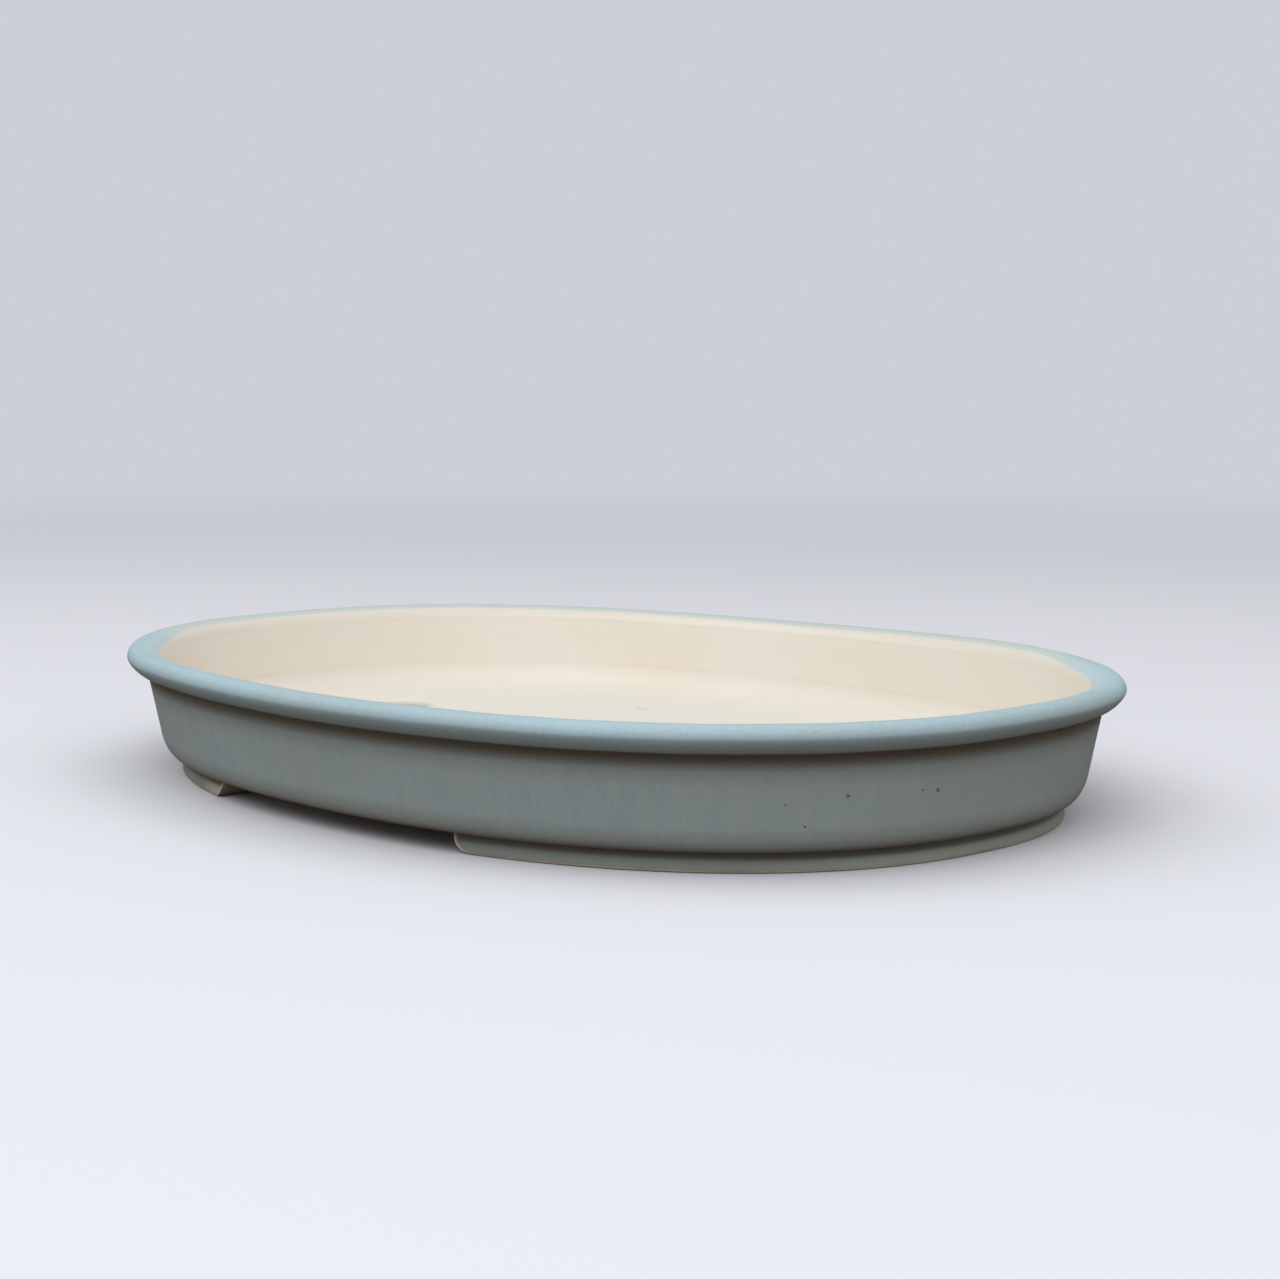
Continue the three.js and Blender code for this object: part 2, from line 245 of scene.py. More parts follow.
def floor_slab():
    n = 360
    x, y, nx, ny = outline(np.arange(n) * PERIMETER / n)
    edge = np.c_[x - nx * 19.5, y - ny * 19.5]
    toe = np.c_[x - nx * 28.0, y - ny * 28.0]
    rings = []
    for h, (cx, cy, r, rim, m) in enumerate(HOLES):
        th = np.arange(m) * 2 * math.pi / m
        wob = 1 + 0.006 * np.sin(2 * th + h) + 0.004 * np.sin(3 * th + 2 * h)
        rings.append((cx, cy, r, rim, m, th, wob))
    pts, edges = [], []

    def loop(p):
        start = len(pts)
        pts.extend([Vector((float(a), float(b))) for a, b in p])
        edges.extend([(start + i, start + (i + 1) % len(p)) for i in range(len(p))])
        return start

    loop(edge)
    loop(toe)
    hole_start = []
    for cx, cy, r, rim, m, th, wob in rings:
        rr = (r + rim) * wob
        hole_start.append(loop(np.c_[cx + rr * np.cos(th), cy + rr * np.sin(th)]))
        for k in range(1, 4):                     # finer rings round each hole
            r2 = r + rim + k * (1.2 if r > 5 else 0.9)
            m2 = m if k < 3 else m // 2
            t2 = np.arange(m2) * 2 * math.pi / m2
            pts.extend([Vector((cx + r2 * math.cos(a), cy + r2 * math.sin(a))) for a in t2])
    step = 5.0
    gx = np.arange(-185, 186, step)
    tree = edge
    for j, yy in enumerate(np.arange(-130, 131, step * 0.866)):
        for xx in gx + (step / 2 if j % 2 else 0):
            if (abs(xx) / (A - 19.5)) ** P + (abs(yy) / (B - 19.5)) ** P > 1.0:
                continue
            d = np.hypot(tree[:, 0] - xx, tree[:, 1] - yy).min()
            if d < 3.0 or abs(d - 8.5) < 2.0:
                continue
            if any(math.hypot(xx - cx, yy - cy) < r + rim + (6.0 if r > 5 else 4.6) for cx, cy, r, rim, *_ in rings):
                continue
            pts.append(Vector((float(xx), float(yy))))
    v2, e2, f2, *_ = geometry.delaunay_2d_cdt(pts, edges, [], 0, 1e-4)
    flat = np.array([(q.x, q.y) for q in v2])
    tris = []
    ea = np.array(edge)
    for f in f2:
        c = flat[list(f)].mean(0)
        if any(math.hypot(c[0] - cx, c[1] - cy) < (r + rim) * 0.985 for cx, cy, r, rim, *_ in rings):
            continue
        tris.append(tuple(f))
    # drop triangles outside the edge loop (the outline is convex, so only slivers can be there)
    ang = np.arctan2(ea[:, 1], ea[:, 0])
    order = np.argsort(ang)
    def outside(c):
        r = math.hypot(*c)
        re = np.interp(math.atan2(c[1], c[0]), ang[order], np.hypot(ea[order, 0], ea[order, 1]), period=2 * math.pi)
        return r > re + 0.05
    tris = [f for f in tris if not outside(flat[list(f)].mean(0))]
    nv = len(flat)
    # distance from the fillet's toe fades the slight crown of the floor to nothing
    dist = np.array([np.hypot(ea[:, 0] - q[0], ea[:, 1] - q[1]).min() for q in flat])
    fade = np.clip((dist - 9.0) / 14.0, 0, 1)
    fade = fade * fade * (3 - 2 * fade)
    top_z = FLOOR_Z + fade * (0.16 * waves(flat[:, 0], flat[:, 1], 0 * dist, 21, 60) + 0.05 * waves(flat[:, 0], flat[:, 1], 0 * dist, 22, 16))
    low_z = np.full(nv, UNDER_Z)
    verts = [(*flat[i], top_z[i]) for i in range(nv)] + [(*flat[i], low_z[i]) for i in range(nv)]
    insets = list(dist + 19.5) * 2
    faces = [f for f in tris] + [tuple(i + nv for i in reversed(f)) for f in tris]
    # where a ring point ended up after triangulation
    find = {(round(q[0], 3), round(q[1], 3)): i for i, q in enumerate(flat)}
    def idx(p):
        key = (round(float(p[0]), 3), round(float(p[1]), 3))
        if key in find:
            return find[key]
        return int(np.argmin(np.hypot(flat[:, 0] - p[0], flat[:, 1] - p[1])))
    # outer edge wall
    ei = [idx(p) for p in edge]
    for i in range(n):
        a, b = ei[i], ei[(i + 1) % n]
        faces.append((a, b, b + nv, a + nv))
    # hole walls with rounded mouths
    for (cx, cy, r, rim, m, th, wob) in rings:
        rr = (r + rim) * wob
        ring_idx = [idx((cx + rr[k] * math.cos(th[k]), cy + rr[k] * math.sin(th[k]))) for k in range(m)]
        prev = ring_idx
        tz = np.array([top_z[i] for i in ring_idx])
        steps = []
        for a in np.linspace(0, 90, 7)[1:]:
            steps.append((r + rim * (1 - math.sin(math.radians(a))), -rim * (1 - math.cos(math.radians(a))), True))
        steps += [(r, -f, None) for f in (0.35, 0.65)]
        for a in np.linspace(90, 0, 7)[:-1]:
            steps.append((r + rim * (1 - math.sin(math.radians(a))), rim * (1 - math.cos(math.radians(a))), False))
        for radius, dz, where in steps:
            start = len(verts)
            for k in range(m):
                rk = radius * wob[k]
                if where is True:
                    z = tz[k] + dz
                elif where is False:
                    z = UNDER_Z + dz
                else:
                    z = (tz[k] - rim) + (UNDER_Z + rim - (tz[k] - rim)) * (-dz)
                verts.append((cx + rk * math.cos(th[k]), cy + rk * math.sin(th[k]), z))
                insets.append(60.0)
            cur = list(range(start, start + m))
            for k in range(m):
                k2 = (k + 1) % m
                faces.append((prev[k], prev[k2], cur[k2], cur[k]))
            prev = cur
        low = [i + nv for i in ring_idx]
        for k in range(m):
            k2 = (k + 1) % m
            faces.append((prev[k], prev[k2], low[k2], low[k]))
    return new_piece("floor_slab_clay", verts, faces, insets)


# feet: a band under the slab round each end; its ends are rounded back
def foot(name, side):
    # (half opening at the slab, how far the end rounds back) at the -Y end, then the +Y end
    ends = ((68.0, 9.5) if side > 0 else (64.5, 5.0), (66.0, 7.0))
    zs = np.r_[np.linspace(UNDER_Z, 3.0, 9), np.linspace(3.0, 0.55, 9)[1:], 0.55 - 0.55 * np.sin(np.radians(np.linspace(18, 90, 5)))]
    zs[-1] = 0.0

    def outer_in(z):
        k = np.array([0.0, 1.2, 2.4, 3.8, 5.2, 6.4, UNDER_Z])
        v = np.array([20.45, 20.3, 20.5, 20.95, 21.45, 21.75, 21.9])
        low = max(0.0, (0.8 - z) / 0.8)
        return float(np.interp(z, k, v)) + 0.75 * (1 - math.sqrt(max(0, 1 - low * low)))

    def inner_in(z):
        low = max(0.0, (0.55 - z) / 0.55)
        return 33.0 + 2.5 * (z / UNDER_Z) - 0.55 * (1 - math.sqrt(max(0, 1 - low * low)))

    def x_end(z, end):
        k = (UNDER_Z - z) / UNDER_Z
        return end[0] + end[1] * (1 - math.sqrt(max(0.0, 1 - k * k)))

    # the section loop: down the outside, across the sole, up the inside, across the top
    cross_n = 8
    loop = [(outer_in(z), z, "o", i) for i, z in enumerate(zs)]
    for q in range(1, cross_n):
        f = q / cross_n
        loop.append((outer_in(0) + (inner_in(0) - outer_in(0)) * f, 0.0, "sole", q))
    loop += [(inner_in(z), z, "i", i) for i, z in reversed(list(enumerate(zs)))]
    for q in range(1, cross_n):
        f = q / cross_n
        loop.append((inner_in(UNDER_Z) + (outer_in(UNDER_Z) - inner_in(UNDER_Z)) * f, UNDER_Z, "top", q))
    M, U = len(loop), 300
    fine = np.linspace(-PERIMETER * 0.25, PERIMETER * 0.25, 8001)
    fx, fy, fnx, fny = outline(fine)
    verts = np.zeros((U + 1, M, 3))
    ins = []
    for j, (inset, z, kind, q) in enumerate(loop):
        xs = fx - fnx * inset
        half = fine > 0
        lo, hi = (np.interp(-x_end(z, end), -xs[half], fine[half]) for end in ends)
        u = np.linspace(-1, 1, U + 1)
        u = np.sin(u * math.pi / 2) * 0.35 + u * 0.65      # a little denser at the ends
        s = np.where(u < 0, u * lo, u * hi)
        x, y, nx, ny = outline(s)
        verts[:, j, 0] = side * (x - nx * inset)
        verts[:, j, 1] = y - ny * inset
        verts[:, j, 2] = z
        ins.append(inset)
    faces = []
    for i in range(U):
        for j in range(M):
            k = (j + 1) % M
            faces.append((i * M + j, i * M + k, (i + 1) * M + k, (i + 1) * M + j))
    # end faces: strips between the outside and the inside at each height
    pts = verts.reshape(-1, 3).tolist()
    insets = np.tile(np.array(ins), U + 1).tolist()
    nz = len(zs)
    o_idx = list(range(nz))
    i_idx = [nz + (cross_n - 1) + (nz - 1 - i) for i in range(nz)]
    sole = list(range(nz, nz + cross_n - 1))
    topi = list(range(2 * nz + cross_n - 1, M))[::-1]
    for end in (0, U):
        rows = []
        for i in range(nz):
            a, b = end * M + o_idx[i], end * M + i_idx[i]
            if i == nz - 1:
                mid = [end * M + q for q in sole]
            elif i == 0:
                mid = [end * M + q for q in topi]
            else:
                mid = []
                pa, pb = np.array(pts[a]), np.array(pts[b])
                for q in range(1, cross_n):
                    f = q / cross_n
                    mid.append(len(pts))
                    pts.append((pa + (pb - pa) * f).tolist())
                    insets.append(insets[a] + (insets[b] - insets[a]) * f)
            rows.append([a] + mid + [b])
        for i in range(nz - 1):
            for q in range(cross_n):
                faces.append((rows[i][q], rows[i][q + 1], rows[i + 1][q + 1], rows[i + 1][q]))
    ob = new_piece(name, pts, faces, insets, 30)
    # soften the edges of the end faces, as a sponge does on wet clay
    bv = ob.modifiers.new("soft_edges", "BEVEL")
    bv.limit_method = "ANGLE"
    bv.angle_limit = math.radians(42)
    bv.width = 0.0007
    bv.segments = 3
    bv.harden_normals = False
    bpy.context.view_layer.objects.active = ob
    bpy.context.view_layer.update()
    dg = bpy.context.evaluated_depsgraph_get()
    baked = bpy.data.meshes.new_from_object(ob.evaluated_get(dg), preserve_all_data_layers=True, depsgraph=dg)
    ob.modifiers.clear()
    ob.data = baked
    ob.data.shade_smooth()
    ob.data.set_sharp_from_angle(angle=math.radians(50))
    return ob


# ---------------------------------------------------------------------------
# Materials, all procedural. P is the object-space point in millimetres.
# ---------------------------------------------------------------------------
class Nodes:
    def __init__(self, name):
        self.mat = bpy.data.materials.new(name)
        self.mat.use_nodes = True
        self.t = self.mat.node_tree
        self.t.nodes.clear()
        self.out = self.t.nodes.new("ShaderNodeOutputMaterial")
        self.bsdf = self.t.nodes.new("ShaderNodeBsdfPrincipled")
        self.t.links.new(self.bsdf.outputs[0], self.out.inputs[0])
        tc = self.t.nodes.new("ShaderNodeTexCoord")
        self.P = self.vmath("SCALE", tc.outputs["Object"], scale=1000.0)
        sep = self.t.nodes.new("ShaderNodeSeparateXYZ")
        self.link(self.P, sep.inputs[0])
        self.x, self.y, self.z = sep.outputs[0], sep.outputs[1], sep.outputs[2]
        at = self.t.nodes.new("ShaderNodeAttribute")
        at.attribute_name = "inset"
        self.inset = at.outputs["Fac"]

    def link(self, a, b):
        self.t.links.new(a, b)

    def put(self, socket, value):
        if hasattr(value, "is_output"):
            self.link(value, socket)
        else:
            socket.default_value = value

    def vmath(self, op, a, b=None, scale=None):
        n = self.t.nodes.new("ShaderNodeVectorMath")
        n.operation = op
        self.put(n.inputs[0], a)
        if b is not None:
            self.put(n.inputs[1], b)
        if scale is not None:
            self.put(n.inputs["Scale"], scale)
        return n.outputs["Value"] if op in ("LENGTH", "DISTANCE", "DOT_PRODUCT") else n.outputs[0]

    def m(self, op, a, b=0.0, c=None, clamp=False):
        n = self.t.nodes.new("ShaderNodeMath")
        n.operation = op
        n.use_clamp = clamp
        self.put(n.inputs[0], a)
        self.put(n.inputs[1], b)
        if c is not None:
            self.put(n.inputs[2], c)
        return n.outputs[0]

    def ramp(self, v, lo, hi, out_lo=0.0, out_hi=1.0, smooth=True):
        n = self.t.nodes.new("ShaderNodeMapRange")
        n.interpolation_type = "SMOOTHSTEP" if smooth else "LINEAR"
        n.clamp = True
        self.put(n.inputs["Value"], v)
        n.inputs["From Min"].default_value = lo
        n.inputs["From Max"].default_value = hi
        n.inputs["To Min"].default_value = out_lo
        n.inputs["To Max"].default_value = out_hi
        return n.outputs[0]

    def noise(self, vec, per_mm, detail=3.0, rough=0.5, dist=0.0):
        n = self.t.nodes.new("ShaderNodeTexNoise")
        n.noise_dimensions = "3D"
        self.put(n.inputs["Vector"], vec)
        n.inputs["Scale"].default_value = per_mm
        n.inputs["Detail"].default_value = detail
        n.inputs["Roughness"].default_value = rough
        n.inputs["Distortion"].default_value = dist
        return n.outputs[0]

    def squash(self, sx, sy, sz, shift=(0.0, 0.0, 0.0)):
        n = self.t.nodes.new("ShaderNodeMapping")
        self.put(n.inputs["Vector"], self.P)
        n.inputs["Scale"].default_value = (sx, sy, sz)
        n.inputs["Location"].default_value = shift
        return n.outputs[0]

    def mix(self, f, a, b):
        n = self.t.nodes.new("ShaderNodeMix")
        n.data_type = "RGBA"
        n.clamp_factor = True
        self.put(n.inputs[0], f)
        self.put(n.inputs[6], (*a, 1.0) if isinstance(a, tuple) else a)
        self.put(n.inputs[7], (*b, 1.0) if isinstance(b, tuple) else b)
        return n.outputs[2]

    def specks(self, cell, radius, share, seed):
        """Dots of up to 'radius' mm, in a 'share' of cells 'cell' mm wide."""
        v = self.t.nodes.new("ShaderNodeTexVoronoi")
        v.voronoi_dimensions = "3D"
        v.feature = "F1"
        self.put(v.inputs["Vector"], self.squash(1, 1, 1, (seed * 13.7, seed * 7.1, seed * 3.3)))
        v.inputs["Scale"].default_value = 1.0 / cell
        v.inputs["Randomness"].default_value = 1.0
        sep = self.t.nodes.new("ShaderNodeSeparateColor")
        self.link(v.outputs["Color"], sep.inputs[0])
        here = self.m("GREATER_THAN", sep.outputs[0], 1.0 - share)
        size = self.m("MULTIPLY_ADD", sep.outputs[1], radius * 0.6 / cell, radius * 0.4 / cell)
        wobble = self.m("MULTIPLY", self.m("SUBTRACT", self.noise(self.P, 2.2, 1.0), 0.5), 0.5 * radius / cell)
        d = self.m("SUBTRACT", self.m("ADD", v.outputs["Distance"], wobble), size)
        return self.m("MULTIPLY", here, self.ramp(d, -0.35 * radius / cell, 0.35 * radius / cell, 1.0, 0.0))

    def bump(self, height, strength, distance_mm, normal=None):
        n = self.t.nodes.new("ShaderNodeBump")
        n.inputs["Strength"].default_value = strength
        n.inputs["Distance"].default_value = distance_mm / 1000.0
        self.link(height, n.inputs["Height"])
        if normal is not None:
            self.link(normal, n.inputs["Normal"])
        return n.outputs[0]


# larger iron spots that sit on the wall, x, y, z, radius in mm
SPOTS = [(181.3, -60.8, 25.6, 0.62), (190.6, -36.6, 25.7, 0.45), (191.8, -30.9, 25.2, 0.70), (170.4, -77.2, 23.3, 0.38), (173.0, -71.0, 16.1, 0.42),
         (-52.0, -139.8, 27.0, 0.5), (-150.5, 102.0, 22.0, 0.6), (60.0, 139.5, 30.5, 0.5), (-193.5, 15.0, 20.0, 0.55)]

CREAM = (0.818, 0.748, 0.660)
CREAM_WARM = (0.820, 0.733, 0.640)
CREAM_PALE = (0.825, 0.768, 0.688)


def clay_colour(k):
    """Bare cream clay: soft clouds of warmer and paler body, fine grain, a few specks."""
    cloud = k.noise(k.P, 0.018, 3.0, 0.55)
    grain = k.noise(k.P, 1.1, 3.0, 0.6)
    c = k.mix(k.ramp(cloud, 0.35, 0.65), CREAM, CREAM_PALE)
    warm = k.m("MULTIPLY", k.ramp(k.noise(k.squash(1, 1, 1, (40, 9, 3)), 0.02, 2.0, 0.5), 0.42, 0.72), 0.70)
    c = k.mix(warm, c, CREAM_WARM)
    c = k.mix(k.ramp(grain, 0.3, 0.75, 0.0, 0.08), c, (0.66, 0.59, 0.49))
    c = k.mix(k.m("MULTIPLY", k.specks(7.5, 0.20, 0.18, 5), 0.40), c, (0.40, 0.29, 0.20))
    return c, grain


def glaze_colour(k, spots=True):
    """Matt pale blue glaze over iron-bearing clay."""
    cloud = k.noise(k.P, 0.016, 2.0, 0.5)
    runs = k.noise(k.squash(1, 1, 0.05), 0.28, 3.0, 0.55)
    fine = k.noise(k.P, 0.9, 4.0, 0.65)
    high = k.ramp(k.z, 38.0, 41.5)
    thin_glaze_and_painted_corner_light = k.mix(k.ramp(runs, 0.32, 0.70), (0.378, 0.465, 0.495), (0.425, 0.502, 0.508))
    thick = (0.436, 0.598, 0.675)
    c = k.mix(high, thin_glaze_and_painted_corner_light, thick)
    c = k.mix(k.ramp(cloud, 0.35, 0.70, 0.0, 0.40), c, (0.412, 0.470, 0.468))
    c = k.mix(k.ramp(fine, 0.40, 0.72, 0.0, 0.27), c, (0.290, 0.350, 0.365))
    c = k.mix(k.ramp(k.noise(k.squash(1, 1, 1, (3, 55, 8)), 0.55, 3.0, 0.7), 0.52, 0.75, 0.0, 0.20), c, (0.480, 0.590, 0.620))
    c = k.mix(k.m("MULTIPLY", k.specks(2.6, 0.24, 0.30, 1), 0.60), c, (0.10, 0.085, 0.07))
    c = k.mix(k.m("MULTIPLY", k.specks(9.0, 0.42, 0.16, 2), 0.80), c, (0.085, 0.06, 0.045))
    c = k.mix(k.m("MULTIPLY", k.specks(6.0, 0.30, 0.12, 3), 0.55), c, (0.66, 0.70, 0.70))
    if spots:
        wob = k.m("MULTIPLY", k.m("SUBTRACT", k.noise(k.P, 1.3, 2.0), 0.5), 0.5)
        for x, y, z, r in SPOTS:
            d = k.vmath("DISTANCE", k.P, (x, y, z))
            d = k.m("ADD", d, wob)
            c = k.mix(k.ramp(d, r * 0.4, r * 1.45, 0.78, 0.0), c, (0.115, 0.072, 0.048))
    return c, fine, runs


def pot_body_material(name, spots=True):
    """Blue glaze outside and over the lip; bare cream clay inside the glaze edge and under the pot."""
    k = Nodes(name)
    g, fine, runs = glaze_colour(k, spots)
    clay, grain = clay_colour(k)
    # painted shade: the bare clay is darkened over the lip's inner rounding, more towards the top
    clay = k.mix(k.ramp(k.z, 44.2, 46.2, 0.0, 0.50), clay, (0.700, 0.640, 0.560))
    # painted shade: the bare clay darkens slightly towards the inner corner where the wall meets the floor
    clay = k.mix(k.m("MULTIPLY", k.ramp(k.z, 24.0, 19.0), 0.35), clay, (0.720, 0.668, 0.595))
    # the glaze edge runs just inside the lip, and wanders a little
    wander = k.m("MULTIPLY", k.m("SUBTRACT", k.noise(k.P, 0.022, 1.0, 0.5), 0.5), 0.9)
    along = k.m("MULTIPLY_ADD", k.y, 0.675, k.m("MULTIPLY", k.x, -0.729))
    across = k.m("MULTIPLY_ADD", k.y, 0.734, k.m("MULTIPLY", k.x, 0.679))
    wiped = k.ramp(k.m("MULTIPLY_ADD", across, 0.25, along), 5.0, 50.0)
    edge = k.m("ADD", k.m("ADD", k.inset, wander), k.m("MULTIPLY", k.m("MULTIPLY", wiped, k.ramp(k.z, 40.5, 42.5)), 2.2))
    g = k.mix(k.m("MULTIPLY", wiped, k.m("MULTIPLY", k.ramp(k.z, 39.0, 41.5), 0.75)), g, (0.500, 0.590, 0.560))
    inside = k.m("MULTIPLY", k.ramp(edge, 11.2, 12.7), k.ramp(k.z, 14.6, 15.6))
    under = k.m("MULTIPLY", k.ramp(k.inset, 13.0, 17.5), k.ramp(k.z, 8.5, 7.9))
    bare = k.m("MAXIMUM", inside, under)
    # painted light: the glaze is painted paler over the rounded lower corner, standing in for light bounced up onto it
    # from below
    thin_glaze_and_painted_corner_light = k.m("MULTIPLY", k.m("MULTIPLY", k.ramp(k.z, 14.5, 11.0), k.ramp(k.z, 8.0, 9.4)), k.ramp(k.inset, 11.8, 11.2))
    g = k.mix(k.m("MULTIPLY", thin_glaze_and_painted_corner_light, 0.28), g, (0.600, 0.600, 0.560))
    # thin glaze breaks to warm clay along the lower corner's edge
    brk = k.m("MULTIPLY", k.ramp(k.m("ADD", k.z, k.m("MULTIPLY", k.m("SUBTRACT", k.noise(k.P, 0.35, 3.0), 0.5), 1.0)), 8.5, 7.3), k.ramp(k.m("ABSOLUTE", k.x), 60.0, 76.0, 0.85, 0.60))
    g = k.mix(brk, g, (0.330, 0.225, 0.160))
    # where glaze thins over the inner edge it goes milky before it stops; the paler colour is also partly a painted
    # sheen on the rim top seen at a grazing angle
    g = k.mix(k.m("MULTIPLY", k.ramp(edge, 4.0, 11.0, 0.0, 0.55), k.ramp(k.z, 41.0, 43.0)), g, k.mix(wiped, (0.610, 0.700, 0.720), (0.680, 0.690, 0.630)))
    # painted shade: the glaze is painted dark in the corner under the lip, with a wider, fainter painted shadow fading
    # down the wall below it
    dz = k.m("SUBTRACT", k.z, 38.7)
    off = k.m("MAXIMUM", k.m("MULTIPLY", k.m("SUBTRACT", dz, 1.5), 2.9), k.m("MULTIPLY", dz, -1.0))
    wall_side = k.m("MULTIPLY", k.ramp(k.inset, 3.8, 5.6), k.ramp(k.inset, 11.8, 11.2))
    painted_lip_shadow = k.m("MULTIPLY", k.ramp(off, 2.0, 11.0, 1.0, 0.0), wall_side)
    g = k.mix(k.m("MULTIPLY", painted_lip_shadow, 0.42), g, (0.180, 0.175, 0.150))
    painted_lip_shade = k.m("MULTIPLY", k.ramp(off, 1.1, 5.6, 1.0, 0.0), wall_side)
    g = k.mix(k.m("MULTIPLY", painted_lip_shade, 0.84), g, (0.110, 0.094, 0.066))
    col = k.mix(bare, g, clay)
    k.link(col, k.bsdf.inputs["Base Color"])
    rough = k.m("ADD", k.m("MULTIPLY", bare, 0.36), k.ramp(fine, 0.3, 0.7, 0.44, 0.56))
    k.link(rough, k.bsdf.inputs["Roughness"])
    k.bsdf.inputs["Specular IOR Level"].default_value = 0.42
    pits = k.specks(2.1, 0.20, 0.35, 7)
    skin = k.noise(k.P, 0.55, 3.0, 0.6)
    h = k.m("ADD", k.m("MULTIPLY", fine, 0.35), k.m("MULTIPLY", skin, 0.65))
    h = k.m("SUBTRACT", h, k.m("MULTIPLY", pits, 0.9))
    h = k.m("ADD", h, k.m("MULTIPLY", bare, k.m("MULTIPLY", grain, 0.8)))
    k.link(k.bump(h, 0.55, 0.10), k.bsdf.inputs["Normal"])
    return k.mat


def floor_material():
    """Bare clay floor: wiped, faintly mottled, with grey marks left by water at the drain holes."""
    k = Nodes("bare_clay_floor")
    clay, grain = clay_colour(k)
    pale = k.ramp(k.inset, 26.0, 46.0)
    clay = k.mix(k.m("MULTIPLY", pale, 0.75), clay, (0.800, 0.762, 0.682))
    wipe = k.noise(k.squash(0.35, 1, 1), 0.12, 4.0, 0.6)
    clay = k.mix(k.ramp(wipe, 0.45, 0.75, 0.0, 0.10), clay, (0.750, 0.722, 0.645))
    for hx in (-DRAIN_X, DRAIN_X):
        d = k.vmath("DISTANCE", k.P, (hx, 0.0, FLOOR_Z))
        ring = k.m("MULTIPLY", k.ramp(d, 13.2, 24.0, 1.0, 0.0), k.ramp(k.noise(k.P, 0.16, 4.0, 0.65), 0.40, 0.66))
        clay = k.mix(k.m("MULTIPLY", ring, 0.14), clay, (0.520, 0.480, 0.410))
        throat = k.m("MULTIPLY", k.ramp(d, 14.6, 13.0), 0.10)
        clay = k.mix(throat, clay, (0.460, 0.410, 0.330))
    for sx in (-1, 1):
        for sy in (-1, 1):
            d = k.vmath("DISTANCE", k.P, (sx * WIRE_X, sy * WIRE_Y, FLOOR_Z))
            clay = k.mix(k.ramp(d, 2.8, 5.0, 0.15, 0.0), clay, (0.560, 0.520, 0.440))
    k.link(clay, k.bsdf.inputs["Base Color"])
    k.bsdf.inputs["Roughness"].default_value = 0.86
    k.bsdf.inputs["Specular IOR Level"].default_value = 0.30
    h = k.m("ADD", k.m("MULTIPLY", grain, 0.7), k.m("MULTIPLY", wipe, 0.9))
    k.link(k.bump(h, 0.5, 0.10), k.bsdf.inputs["Normal"])
    return k.mat


def foot_material():
    """Thin glaze over the feet, worn through to beige clay on the ends, the sole and along the ground edge."""
    k = Nodes("foot_thin_glaze")
    g, fine, runs = glaze_colour(k, False)
    g = k.mix(0.68, g, (0.185, 0.200, 0.172))
    clay, grain = clay_colour(k)
    clay = k.mix(0.35, clay, (0.560, 0.470, 0.350))
    rag = k.m("MULTIPLY", k.m("SUBTRACT", k.noise(k.P, 0.10, 2.0, 0.5), 0.5), 2.2)
    low = k.ramp(k.m("ADD", k.z, k.m("MULTIPLY", rag, 0.35)), 1.1, 0.3)
    ax = k.m("ABSOLUTE", k.x)
    # the foot's end face follows x = top + round (1 - sqrt(1 - ((UNDER_Z - z) / UNDER_Z)^2))
    q = k.m("DIVIDE", k.m("SUBTRACT", UNDER_Z, k.z), UNDER_Z)
    low_y, pos_x = k.m("LESS_THAN", k.y, 0.0), k.m("GREATER_THAN", k.x, 0.0)
    e_top = k.m("MULTIPLY_ADD", low_y, k.m("MULTIPLY_ADD", pos_x, 3.5, -1.5), 66.0)
    e_round = k.m("MULTIPLY_ADD", low_y, k.m("MULTIPLY_ADD", pos_x, 4.5, -2.0), 7.0)
    bow = k.m("SUBTRACT", 1.0, k.m("SQRT", k.m("MAXIMUM", k.m("SUBTRACT", 1.0, k.m("MULTIPLY", q, q)), 0.0)))
    xe = k.m("MULTIPLY_ADD", e_round, bow, e_top)
    from_end = k.m("SUBTRACT", ax, xe)
    end = k.ramp(k.m("ADD", from_end, k.m("MULTIPLY", rag, 0.6)), 0.5, 2.2, 1.0, 0.0)
    inner = k.ramp(k.m("ADD", k.inset, k.m("MULTIPLY", rag, 0.5)), 25.4, 26.6)
    bare = k.m("MAXIMUM", k.m("MAXIMUM", low, k.m("MULTIPLY", end, 0.85)), inner)
    beige = k.ramp(k.m("ADD", k.z, k.m("MULTIPLY", rag, 0.6)), 3.6, 0.8, 0.0, 0.55)
    g = k.mix(beige, g, (0.360, 0.350, 0.300))
    worn = k.m("MULTIPLY", k.ramp(k.m("ADD", from_end, k.m("MULTIPLY", rag, 3.0)), 3.0, 22.0, 0.80, 0.0), k.ramp(k.x, 0.0, -10.0))
    worn = k.m("MULTIPLY", worn, k.ramp(k.z, 6.0, 4.0))
    g = k.mix(worn, g, (0.600, 0.540, 0.455))
    lit_end = k.m("MULTIPLY", k.ramp(k.m("ADD", k.x, k.y), 60.0, 170.0, 0.0, 0.55), k.ramp(k.z, 5.0, 3.0))
    g = k.mix(lit_end, g, (0.480, 0.480, 0.400))
    # painted shade: the glaze is darkened over the upper part of each foot, under the wall's lower corner
    painted_foot_top_shade = k.ramp(k.m("ADD", k.z, k.m("MULTIPLY", rag, 0.2)), 3.2, 4.9, 0.0, 0.86)
    g = k.mix(painted_foot_top_shade, g, (0.150, 0.125, 0.090))
    col = k.mix(bare, g, clay)
    k.link(col, k.bsdf.inputs["Base Color"])
    rough = k.m("ADD", k.m("MULTIPLY", bare, 0.30), k.ramp(fine, 0.3, 0.7, 0.48, 0.60))
    k.link(rough, k.bsdf.inputs["Roughness"])
    k.bsdf.inputs["Specular IOR Level"].default_value = 0.40
    h = k.m("ADD", fine, k.m("MULTIPLY", k.noise(k.P, 0.5, 3.0), 0.8))
    k.link(k.bump(h, 0.55, 0.10), k.bsdf.inputs["Normal"])
    return k.mat


